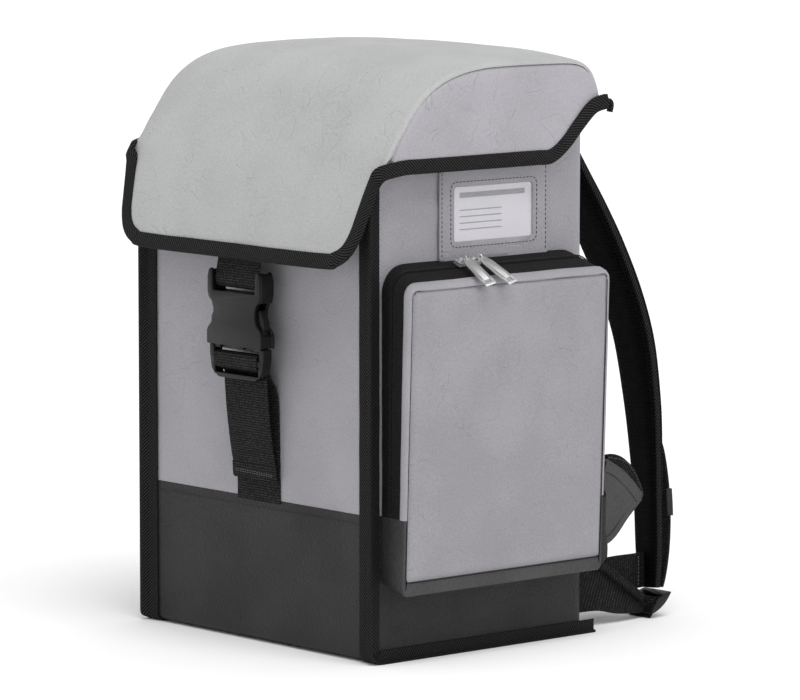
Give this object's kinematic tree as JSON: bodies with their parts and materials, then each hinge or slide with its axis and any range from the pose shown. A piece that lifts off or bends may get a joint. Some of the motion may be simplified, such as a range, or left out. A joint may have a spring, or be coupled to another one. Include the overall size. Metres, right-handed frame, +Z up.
{
  "type": "backpack",
  "caption": "Square stiff backpack of coated cloth with a hooded lid, bound edges, a side-release buckle, a zipped side pocket and padded shoulder straps.",
  "frame": {"origin": "middle of the bag's base, on the surface that it stands on", "axes": "+X towards the zipped side pocket, +Y from the front panel towards the back and the shoulder straps, +Z up"},
  "size_m": [0.358, 0.385, 0.4838],
  "materials": {
    "body_cloth": "light grey coated cloth with a fine leather grain",
    "lid_cloth": "pale grey coated cloth with a fine leather grain and shallow creases",
    "base_leather": "black coated cloth, satin, with a fine grain",
    "binding_tape": "black twill tape, matt, with a diagonal weave",
    "webbing": "black woven webbing, matt, ribbed",
    "pad_mesh": "black open spacer mesh over foam",
    "buckle_plastic": "black moulded plastic, fine satin texture",
    "zip_tape": "black woven zip tape",
    "zip_coil": "black moulded zip coil",
    "zip_metal": "bright nickel plate",
    "card_stock": "smooth white card",
    "clear_sheet": "clear soft vinyl sheet"
  },
  "bodies": {
    "root": {"body_shell": "body_cloth", "base_tray": "base_leather", "corner_binding_left": "binding_tape", "corner_binding_right": "binding_tape", "lid_crown": "lid_cloth", "lid_cheek_left": "lid_cloth", "lid_cheek_right": "lid_cloth", "lid_binding": "binding_tape", "id_patch": "body_cloth", "id_card": "card_stock", "id_window": "clear_sheet", "pocket_zip_tape": "zip_tape", "pocket_zip_coil": "zip_coil", "pocket_rim": "body_cloth", "pocket_base": "base_leather", "pocket_panel": "body_cloth", "zip_slider_1": "zip_metal", "zip_pull_1": "zip_metal", "zip_slider_2": "zip_metal", "zip_pull_2": "zip_metal", "front_strap_top": "webbing", "buckle_socket": "buckle_plastic", "buckle_plug": "buckle_plastic", "front_strap_anchor": "webbing", "front_strap_tail": "webbing", "strap_pad_left": "pad_mesh", "strap_pad_right": "pad_mesh", "strap_tail_left": "webbing", "strap_tail_right": "webbing", "strap_keeper_left": "webbing", "strap_keeper_right": "webbing", "ladder_lock_left": "buckle_plastic", "ladder_lock_right": "buckle_plastic", "lower_webbing_left": "webbing", "lower_webbing_right": "webbing", "strap_lug_left": "webbing", "strap_lug_right": "webbing", "hip_wing_left": "base_leather", "hip_wing_right": "base_leather", "hip_webbing_left": "webbing", "hip_webbing_right": "webbing"}
  },
  "joints": []
}
